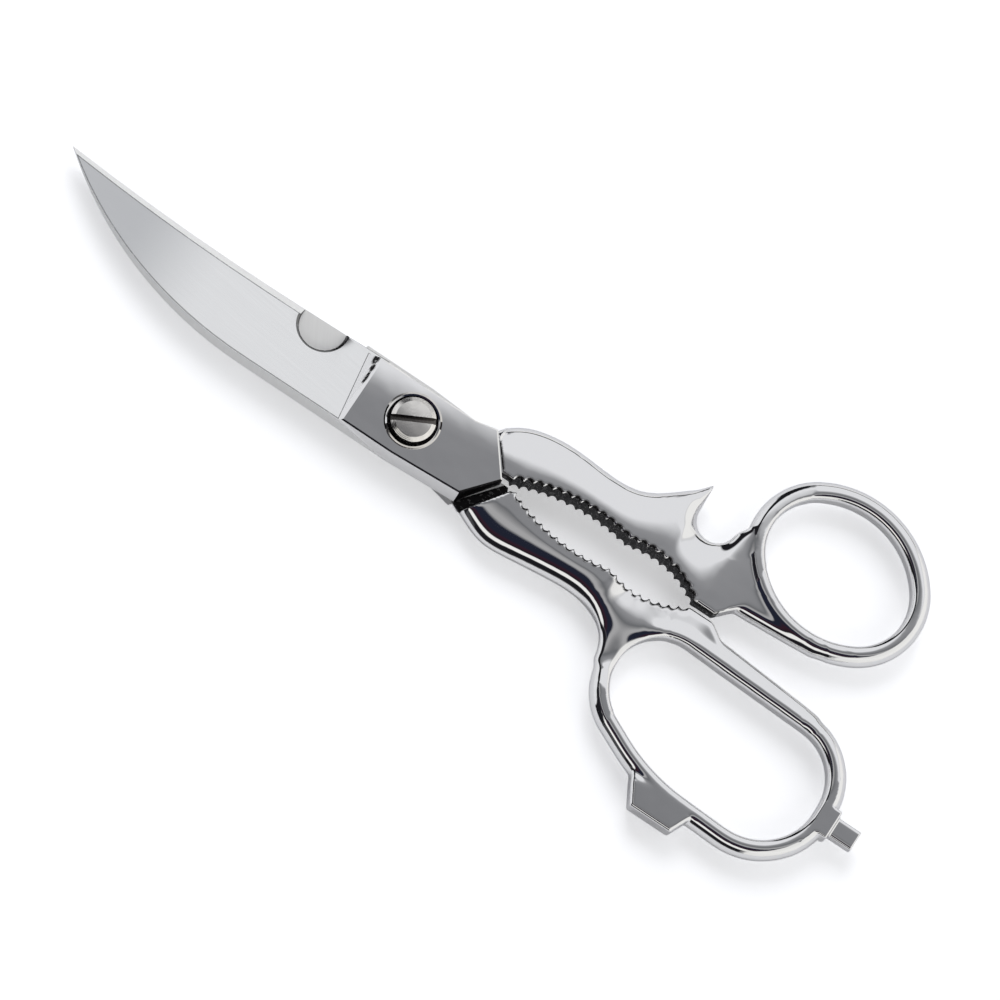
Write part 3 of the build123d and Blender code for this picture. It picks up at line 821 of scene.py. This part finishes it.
def choose_finish(face, side, lines):
    """The number of the finish that a face carries."""
    centre, normal = face.calc_center_median(), face.normal
    if normal.z * side < -NEARLY_LEVEL and abs(centre.z - MIDDLE) < LAP_MARGIN:
        return FLAT
    if is_blade_face(face, side):
        return FACE
    if side > 0 and centre.z > block_top - TOP_MARGIN:
        return CROWNED
    if centre.x < BLADE_END and abs(normal.z) < HALF_LEVEL:
        return FLAT
    if centre.x < BLADE_END and not is_ramp(face) and face not in lines:
        return BEVEL
    return PLATE


def in_painted_shade(face):
    """True on the thumb half's walls that are painted dark as shade: the notch's wall, the bore round
    the screw's head and the wall over the vee.
    """
    centre, normal = face.calc_center_median(), face.normal
    from_notch = hypot(centre.x - NOTCH[0], centre.y - NOTCH[1])
    in_notch = from_notch < NOTCH_RADIUS and abs(normal.z) < LEVEL
    in_bore = BORE_INNER < hypot(centre.x, centre.y) < BORE_RADIUS and centre.z < block_top - TOP_MARGIN
    over_vee = centre.y < 0 and normal.x > VEE_FACING
    return in_notch or in_bore or over_vee


def finish_front(bm, side, lines):
    """Choose each face's material, and mark painted shade, a painted shadow, the dark rim line and the
    ramp's patches in the recess attribute.
    """
    recess = bm.faces.layers.float["recess"]
    lines = set(lines)
    # The blade face's rim is darkened into a fine dark line.
    for face in lines:
        face[recess] = LINE_DARKNESS
    for face in bm.faces:
        face.material_index = choose_finish(face, side, lines)
        centre = face.calc_center_median()
        # Painted shade on the walls of the notch, the bore and the vee.
        if side > 0 and in_painted_shade(face):
            face[recess] = DEEP_SHADE
        if side > 0 and is_ramp(face):
            face[recess] = ramp_patches(centre)
        # A painted shadow on the lower half's side under the block.
        if side < 0 and face.normal.y < -HALF_LEVEL:
            face[recess] = UNDERCUT_SHADOW * ease(centre.x, *UNDERCUT)


for name, node, side in (("thumb", "thumb_half", 1), ("finger", "finger_half", -1)):
    bm = cad_copy(node)
    cut(bm, SEAM_POINT + seam_normal(side) * 2 * SEAM_OVERLAP, seam_normal(side))
    bm.faces.layers.float.new("recess")
    chamfer_top(bm, side)
    if side > 0:
        divide_ramp(bm)
    lines = line_blade(bm, side)
    finish_front(bm, side, lines)
    crease(bm)
    steels = [nickel, ground_blade, ground_flat, ground_edge, block_plate]
    add_piece(bm, name + "_blade", name + "_side", steels, node)

# %% [markdown]
# The handle is sculpted like clay. A subdivided cage could give the same shape, but the CAD solid
# already has the outline. So a voxel remesh turns the cut copy into even small quads, the vertices
# are then moved to give the section its shape, and a few rounds of smoothing do what the polishing
# wheel does on the real forging: they round every edge a little. Where two slopes meet in a bump,
# the heights of the flats alone are levelled, so that the outline stays.

# %% Clay tools
SKIN_VOXEL = 0.25 * MM
SOFTEN = 0.5
FLAT_FACING = 0.4


def remesh(bm, voxel):
    """Replace a closed bmesh with even quads of about the voxel's size."""
    mesh = bpy.data.meshes.new("clay")
    bm.to_mesh(mesh)
    clay = bpy.data.objects.new("clay", mesh)
    bpy.context.scene.collection.objects.link(clay)
    voxels = clay.modifiers.new("voxels", "REMESH")
    voxels.mode = "VOXEL"
    voxels.voxel_size = voxel
    graph = bpy.context.evaluated_depsgraph_get()
    even = bpy.data.meshes.new_from_object(clay.evaluated_get(graph))
    bm.clear()
    bm.from_mesh(even)
    bpy.data.objects.remove(clay)
    bpy.data.meshes.remove(mesh)
    bpy.data.meshes.remove(even)
    print("clay of", len(bm.verts), "points,", round(voxel / MM, 2), "mm apart")


def smooth(bm, rounds, chosen):
    """Even out the chosen points in all directions."""
    verts = [vert for vert in bm.verts if chosen(vert.co)]
    for _ in range(rounds):
        bmesh.ops.smooth_vert(
            bm, verts=verts, factor=SOFTEN, use_axis_x=True, use_axis_y=True, use_axis_z=True
        )


def level(bm, rounds, chosen):
    """Even out the heights of the flats alone, which leaves the outline as it is."""
    bm.normal_update()
    verts = [vert for vert in bm.verts if abs(vert.normal.z) > FLAT_FACING and chosen(vert.co)]
    for _ in range(rounds):
        bmesh.ops.smooth_vert(bm, verts=verts, factor=SOFTEN, use_axis_z=True)


def near(co, x, y, reach):
    return hypot(co.x - x, co.y - y) < reach


# %% [markdown]
# The shanks are domed. A column along Y at each place along the handle meets the section at the jaw
# and at the outer edge, and the share of the way from one to the other drives the dome. Its height
# falls slowly, as a low power of that share, and then fast, as a high power, at the shoulder above
# the side wall. The teeth would start a ripple in every column, so they are averaged out first.

# %% Domes
COLUMN = 0.5 * MM
HALF_HANDLE = 3.5 * MM
SHOULDER_DROP = 0.45 * MM
SHOULDER_POWER = 10
JAW_ROOT = 24.5 * MM
TOOTH_SPAN = 4


def columns(bm, side):
    """For each place along X: the Y of the jaw edge and of the outer edge, from the mid-plane cut."""
    section = bm.copy()
    made = bmesh.ops.bisect_plane(
        section, geom=whole(section), plane_co=(0, 0, MIDDLE), plane_no=(0, 0, 1)
    )
    table = {}
    for edge in made["geom_cut"]:
        if not isinstance(edge, bmesh.types.BMEdge):
            continue
        a, b = sorted((vert.co.copy() for vert in edge.verts), key=lambda co: co.x)
        first, last = int(a.x / COLUMN) + 1, int(b.x / COLUMN)
        for place in range(first, last + 1):
            share = (place * COLUMN - a.x) / (b.x - a.x)
            table.setdefault(place, []).append((a.y + (b.y - a.y) * share) * side)
    section.free()
    return {place: (min(hits), max(hits)) for place, hits in table.items() if len(hits) > 1}


def level_jaw(table):
    """The same table with the teeth averaged out of the jaw edge."""
    steps = range(-TOOTH_SPAN, TOOTH_SPAN + 1)
    even = {}
    for place, (inner, outer) in table.items():
        near_by = [table.get(place + step, (inner, outer))[0] for step in steps]
        even[place] = (sum(near_by) / len(near_by), outer)
    return even


def edges_at(table, x):
    """The Y of the jaw edge and of the outer edge at any X, between two of the table's places."""
    place, share = divmod(x / COLUMN, 1)
    nearest = table[round(x / COLUMN)]
    here, after = table.get(int(place), nearest), table.get(int(place) + 1, nearest)
    return [low + (high - low) * share for low, high in zip(here, after)]


def sink(vert, drop):
    """Lower a point of the top, and raise one of the underside, in step with its height."""
    vert.co.z -= (vert.co.z - MIDDLE) / HALF_HANDLE * drop


def dome(bm, side, flat, crown, power, fade):
    """Round the section from the jaw to the outer edge, fading out towards the bows."""
    table = level_jaw(columns(bm, side))
    jaw_root = table[round(JAW_ROOT / COLUMN)][0]
    for vert in bm.verts:
        if round(vert.co.x / COLUMN) not in table:
            continue
        inner, outer = edges_at(table, vert.co.x)
        if vert.co.x < JAW_ROOT:
            inner = jaw_root
        way = min(1, max(0, (vert.co.y * side - inner) / (outer - inner)))
        past_flat = max(0, (way - flat) / (1 - flat))
        fall = crown * past_flat ** power + SHOULDER_DROP * way ** SHOULDER_POWER
        sink(vert, fall * (1 - ease(vert.co.x, *fade)))
    print("dome", round(crown / MM, 2), "mm high over", len(table), "columns")


def new_clay(node, side, shape):
    """The part of a CAD half behind the seam, as even quads with a domed section."""
    bm = cad_copy(node)
    cut(bm, SEAM_POINT + seam_normal(side) * SEAM_OVERLAP, -seam_normal(side))
    remesh(bm, SKIN_VOXEL)
    dome(bm, side, **shape)
    return bm


# %% [markdown]
# The floors and walls of the teeth are darkened. A point belongs to them if it lies close to the
# jaw's edge and its normal looks sideways. The gaps between the teeth are darkened up to the top,
# which leaves the teeth as a row of bright beads, and a narrow lip along the edge is darkened too.
# This could be a texture, but the mesh is fine enough to carry it in an attribute.

# %% Recesses
JAW_REACH = (17 * MM, 73 * MM)
JAW_END = 68 * MM
TOOTH_BAND = 1.1 * MM
TOOTH_CLEAR = 1.0 * MM
TOOTH_HALF = 3
GULLET_DEPTH = (0.12 * MM, 0.32 * MM)
BEAD_REACH = 0.75 * MM
BAND_START = 0.6
STEEPNESS = (0.25, 0.6)
# How dark the narrow lip along the jaw's edge is made.
LIP_DARKNESS = 0.8
LIP_START = 0.5
MARKED = 0.5
THUMB_RIM, FINGER_RIM = 0.45 * MM, 0.12 * MM
THUMB_LIP, FINGER_LIP = 0.05 * MM, 0.32 * MM


def gullet(table, place):
    """1 at the bottom of the gap between two teeth, 0 at their tips."""
    around = range(place - TOOTH_HALF, place + TOOTH_HALF + 1)
    reach = [table[near_by][0] for near_by in around if near_by in table]
    return ease(table[place][0] - min(reach), *GULLET_DEPTH)


def mark_teeth(bm, side, rim, lip):
    """Mark the walls of the jaw, the gaps' upper ends and a narrow lip with the recess attribute."""
    recess = bm.verts.layers.float.new("recess")
    table = columns(bm, side)
    bm.normal_update()
    marked = 0
    for vert in bm.verts:
        place = round(vert.co.x / COLUMN)
        if place not in table or not JAW_REACH[0] < vert.co.x < JAW_REACH[1]:
            continue
        behind_edge = vert.co.y * side - edges_at(table, vert.co.x)[0]
        close = 1 - ease(behind_edge, TOOTH_BAND * BAND_START, TOOTH_BAND)
        steep = ease(1 - abs(vert.normal.z), *STEEPNESS)
        inside = ease(HALF_HANDLE - abs(vert.co.z - MIDDLE), 0, rim)
        bead = gullet(table, place) * (1 - ease(behind_edge, BEAD_REACH * BAND_START, BEAD_REACH))
        lip_line = LIP_DARKNESS * (1 - ease(behind_edge, lip * LIP_START, lip))
        vert[recess] = max(close * steep * inside, bead, lip_line)
        marked += vert[recess] > MARKED
    print("marked", marked, "points of the teeth")


def off_teeth(table, side):
    """A test that is true for points which keep clear of the teeth."""

    def test(co):
        place = round(co.x / COLUMN)
        return place in table and not (co.x < JAW_END and co.y * side - table[place][0] < TOOTH_CLEAR)

    return test


# %% [markdown]
# Smoothing shrinks what it rounds, most of all the thin bars of the bows. So the skin grows a little
# along its normals at the end, but never past the box of the CAD piece that it stands for.

# %% Skin
SKIN_GROWTH = 0.05 * MM
BAR_GROWTH = 0.09 * MM
BARS = (72 * MM, 80 * MM)


def skin(bm, node):
    """Give back what smoothing took away, within the node's own box."""
    bm.normal_update()
    low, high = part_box(node)
    for vert in bm.verts:
        growth = SKIN_GROWTH + BAR_GROWTH * ease(vert.co.x, *BARS)
        grown = vert.co + vert.normal * growth
        vert.co = [min(high[axis], max(low[axis], grown[axis])) for axis in range(3)]
    for face in bm.faces:
        face.smooth = True
    most = SKIN_GROWTH + BAR_GROWTH
    print(node, "grown by", round(SKIN_GROWTH / MM, 2), "to", round(most / MM, 2), "mm")


# %% [markdown]
# The finger handle's shank is domed away from the jaw. Past its waist it steps down in a short scoop
# to the thin web at the head of the loop, and the web leans a little to the far side, so the scoop
# and the web come out bright beside the grey shank. The belly leans the other way, towards the bar
# of the loop. Each of these is a drop that fades in and out along the handle and across it.

# %% Finger handle shape
FINGER_DOME = {"flat": 0.0, "crown": 1.35 * MM, "power": 2.6, "fade": (46 * MM, 54 * MM)}
WAIST_END = 75 * MM
SCOOP = (50.0 * MM, 56.5 * MM)
SCOOP_DROP = 1.25 * MM
SCOOP_BELOW = (13 * MM, 18 * MM)
THINNING = (57.5 * MM, 65.0 * MM)
BAR_SHARE = 0.72
BAR_RUN = (48 * MM, 55 * MM)
BAR_BELOW = (9 * MM, 16 * MM)
SHANK_EDGE = (19 * MM, 20.5 * MM)
BELLY_LEAN = 0.09
BELLY_TOP = 10 * MM
BELLY_RISE, BELLY_FALL = (51 * MM, 56 * MM), (62 * MM, 67 * MM)
BELLY_EDGE = (18 * MM, 24 * MM)
WEB_LEAN = 0.085
WEB_MIDDLE = -6 * MM
WEB_RISE, WEB_FALL = (50 * MM, 57 * MM), (70 * MM, 75 * MM)
WEB_EDGE = (9 * MM, 13 * MM)


def scoop_waist(bm):
    """Step the shank down to the web and to the loop's bar, and lean the belly and the web."""
    for vert in bm.verts:
        co = vert.co
        if co.x > WAIST_END:
            continue
        below = -co.y
        own_thinning = 1 - ease(co.x, *THINNING)
        to_web = ease(co.x, *SCOOP) * (1 - ease(below, *SCOOP_BELOW))
        to_bar = BAR_SHARE * ease(below, *BAR_BELOW) * ease(co.x, *BAR_RUN)
        on_shank = own_thinning * (1 - ease(below, *SHANK_EDGE))
        sink(vert, SCOOP_DROP * max(to_web, to_bar) * on_shank)
        on_belly = ease(co.x, *BELLY_RISE) * (1 - ease(co.x, *BELLY_FALL))
        belly = BELLY_LEAN * max(0, below - BELLY_TOP)
        sink(vert, belly * on_belly * (1 - ease(below, *BELLY_EDGE)))
        on_web = ease(co.x, *WEB_RISE) * (1 - ease(co.x, *WEB_FALL))
        sink(vert, (co.y - WEB_MIDDLE) * WEB_LEAN * on_web * (1 - ease(below, *WEB_EDGE)))
    print("scooped the waist by", SCOOP_DROP / MM, "mm")


bm = new_clay("finger_half", -1, FINGER_DOME)
scoop_waist(bm)

# %% [markdown]
# Polishing comes next. The wheel doesn't reach the teeth and hardly touches the hammer and the
# screwdriver, so those are left out. It works longest at the waist, where the shank, the belly and
# the web meet: there the heights are levelled in rings that get smaller. Last, shade is painted on
# the shelf and the wall in the gap behind the block.

# %% Finger handle polish
FIRST_ROUNDS = 2
SHANK_ROUNDS = 6
BAR_ROUNDS = 20
SPOT_ROUNDS = 25
BELLY_ROUNDS = 30
LEVEL_ROUNDS = 60
WAIST_ROUNDS = 12
FINGER_SHANK_END, FINGER_BAR_START = 62 * MM, 66 * MM
HAMMER_EDGE, HAMMER_END = -36.2 * MM, 92 * MM
DRIVER_EDGE = 112 * MM
STRIP_END = (101.3 * MM, -4.7 * MM, 3.0 * MM)
BELLY = (58.6 * MM, -20.2 * MM, 3.5 * MM)
WAIST = (58.0 * MM, -12.5 * MM)
WAIST_RINGS = (9 * MM, 7.5 * MM, 6 * MM)
WAIST_REACH = 11 * MM
SHELF_END = 24 * MM
SHELF_BELOW = 1 * MM
SHELF_EDGE = (7.2 * MM, 7.7 * MM)
VEE_WALL = 3.1 * MM


def on_tools(co):
    """On the hammer's head or on the screwdriver, which stay crisp."""
    return co.x > DRIVER_EDGE or (co.y < HAMMER_EDGE and co.x < HAMMER_END)


def paint_vee_shade(bm):
    """Paint shade on the shelf and the wall in the gap behind the block."""
    recess = bm.verts.layers.float["recess"]
    for vert in bm.verts:
        behind = (vert.co - SEAM_POINT).dot(seam_normal(-1))
        if behind < VEE_WALL and vert.co.x < SHELF_END and vert.co.z > MIDDLE - SHELF_BELOW:
            low_down = 1 - ease(vert.co.z, *SHELF_EDGE)
            vert[recess] = max(vert[recess], DEEP_SHADE * low_down)


clear = off_teeth(columns(bm, -1), -1)
smooth(bm, FIRST_ROUNDS, lambda co: True)
smooth(bm, SHANK_ROUNDS, lambda co: co.x < FINGER_SHANK_END and clear(co))
smooth(bm, BAR_ROUNDS, lambda co: co.x >= FINGER_BAR_START and not on_tools(co))
smooth(bm, SPOT_ROUNDS, lambda co: near(co, *STRIP_END))
smooth(bm, BELLY_ROUNDS, lambda co: near(co, *BELLY))
for ring in WAIST_RINGS:
    level(bm, LEVEL_ROUNDS, lambda co: near(co, *WAIST, ring) and clear(co))
smooth(bm, WAIST_ROUNDS, lambda co: near(co, *WAIST, WAIST_REACH) and clear(co))
skin(bm, "finger_half")
mark_teeth(bm, -1, FINGER_RIM, FINGER_LIP)
paint_vee_shade(bm)
add_piece(bm, "finger_handle", "finger_side", [nickel], "finger_half")

# %% [markdown]
# The thumb handle's arch falls away from the jaw to the back. Round the opener the edge is worked
# down all the way to a lip, which shows as a bright crescent inside the hook. Smoothing would blunt
# the hook's point, so the point is left out of it and drawn out to its full reach.

# %% Thumb handle
THUMB_DOME = {"flat": 0.12, "crown": 1.1 * MM, "power": 1.9, "fade": (62 * MM, 86 * MM)}
OPENER = (62.9 * MM, 18.8 * MM)
OPENER_RADIUS = 4.4 * MM
CRESCENT_WIDTH = 3.9 * MM
CRESCENT_DROP = 1.75 * MM
CRESCENT_FADE = (66 * MM, 69 * MM)
HOOK = (58.2 * MM, 23.4 * MM)
HOOK_PULL = Vector((0.0, 1.1, 0)) * MM
HOOK_REACH = 3.5 * MM
HOOK_POINT, HOOK_ROOT = 1.2 * MM, 2.0 * MM
OPENER_END = (68.5 * MM, 17.5 * MM, 4.0 * MM)
WING_END = (93.5 * MM, 6.7 * MM, 3.0 * MM)
WING_RUN = (74 * MM, 102 * MM)
WING_TOP = 11 * MM
WING_ROUNDS = 8
THUMB_SHANK_END, THUMB_BAR_START = 72 * MM, 76 * MM


def work_crescent(bm):
    """Work the opener's edge down towards its lip."""
    for vert in bm.verts:
        reach = hypot(vert.co.x - OPENER[0], vert.co.y - OPENER[1]) - OPENER_RADIUS
        if reach < CRESCENT_WIDTH:
            share = 1 - max(0, reach) / CRESCENT_WIDTH
            fade = 1 - ease(vert.co.x, *CRESCENT_FADE)
            sink(vert, CRESCENT_DROP * share * share * fade)


def draw_hook(bm):
    """Draw the hook out to its point."""
    for vert in bm.verts:
        away = hypot(vert.co.x - HOOK[0], vert.co.y - HOOK[1])
        if away < HOOK_REACH:
            vert.co += HOOK_PULL * (1 - away / HOOK_REACH) ** 2


def on_arch(co):
    """On the shank up to the opener, clear of the teeth and of the hook."""
    return co.x < THUMB_SHANK_END and clear(co) and not near(co, *HOOK, HOOK_ROOT)


def on_wing(co):
    """On the outer side of the thumb ring's near end."""
    return WING_RUN[0] < co.x < WING_RUN[1] and co.y < WING_TOP


bm = new_clay("thumb_half", 1, THUMB_DOME)
work_crescent(bm)
clear = off_teeth(columns(bm, 1), 1)
smooth(bm, FIRST_ROUNDS, lambda co: not near(co, *HOOK, HOOK_POINT))
smooth(bm, SHANK_ROUNDS, on_arch)
smooth(bm, BAR_ROUNDS, lambda co: co.x >= THUMB_BAR_START)
smooth(bm, SPOT_ROUNDS, lambda co: near(co, *OPENER_END))
smooth(bm, WING_ROUNDS, on_wing)
smooth(bm, SPOT_ROUNDS, lambda co: near(co, *WING_END))
draw_hook(bm)
skin(bm, "thumb_half")
mark_teeth(bm, 1, THUMB_RIM, THUMB_LIP)
add_piece(bm, "thumb_handle", "thumb_side", [nickel], "thumb_half")
